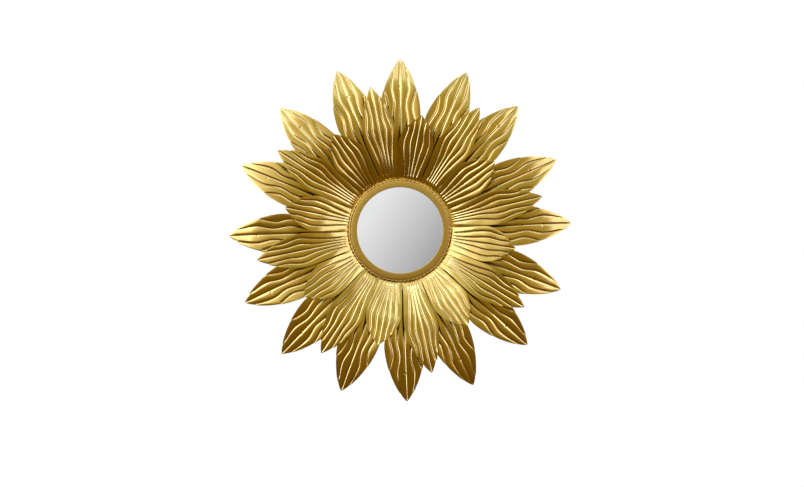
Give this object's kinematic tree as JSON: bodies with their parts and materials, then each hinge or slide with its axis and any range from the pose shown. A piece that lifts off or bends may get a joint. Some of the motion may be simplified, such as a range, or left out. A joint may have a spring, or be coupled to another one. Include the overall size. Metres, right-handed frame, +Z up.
{
  "type": "wall mirror",
  "caption": "Round wall mirror in a rope-edged frame ring, set in three layers of grooved and pointed gold metal petals; hangs flat on a wall by a loop.",
  "frame": {"origin": "centre of the back board's wall face, where the axis of the glass meets the wall", "axes": "+Z up, +X to the right seen from the front, the glass faces -Y and the wall lies on the +Y side at y = 0"},
  "size_m": [0.7994, 0.067, 0.7997],
  "materials": {
    "petal_gold": "antique gold lacquer on pressed steel sheet, satin gloss, darker in the grooves",
    "ring_gold": "antique gold lacquer, softly matt, slightly mottled",
    "rope_gold": "antique gold lacquer, darker between the twists",
    "glass": "silvered float glass, polished",
    "board": "black painted fibreboard",
    "steel": "dark bronze paint, satin"
  },
  "bodies": {
    "root": {"back_board": "board", "hanging_loop": "steel", "petal_plate": "steel", "mirror_backing": "board", "mirror_glass": "glass", "frame_ring": "ring_gold", "rope_trim": "rope_gold", "outer_petal_01": "petal_gold", "outer_petal_02": "petal_gold", "outer_petal_03": "petal_gold", "outer_petal_04": "petal_gold", "outer_petal_05": "petal_gold", "outer_petal_06": "petal_gold", "outer_petal_07": "petal_gold", "outer_petal_08": "petal_gold", "outer_petal_09": "petal_gold", "outer_petal_10": "petal_gold", "outer_petal_11": "petal_gold", "outer_petal_12": "petal_gold", "outer_petal_13": "petal_gold", "outer_petal_14": "petal_gold", "outer_petal_15": "petal_gold", "outer_petal_16": "petal_gold", "long_petal_01": "petal_gold", "long_petal_02": "petal_gold", "long_petal_03": "petal_gold", "long_petal_04": "petal_gold", "long_petal_05": "petal_gold", "long_petal_06": "petal_gold", "long_petal_07": "petal_gold", "long_petal_08": "petal_gold", "front_petal_01": "petal_gold", "front_petal_02": "petal_gold", "front_petal_03": "petal_gold", "front_petal_04": "petal_gold", "front_petal_05": "petal_gold", "front_petal_06": "petal_gold", "front_petal_07": "petal_gold", "front_petal_08": "petal_gold"}
  },
  "joints": []
}
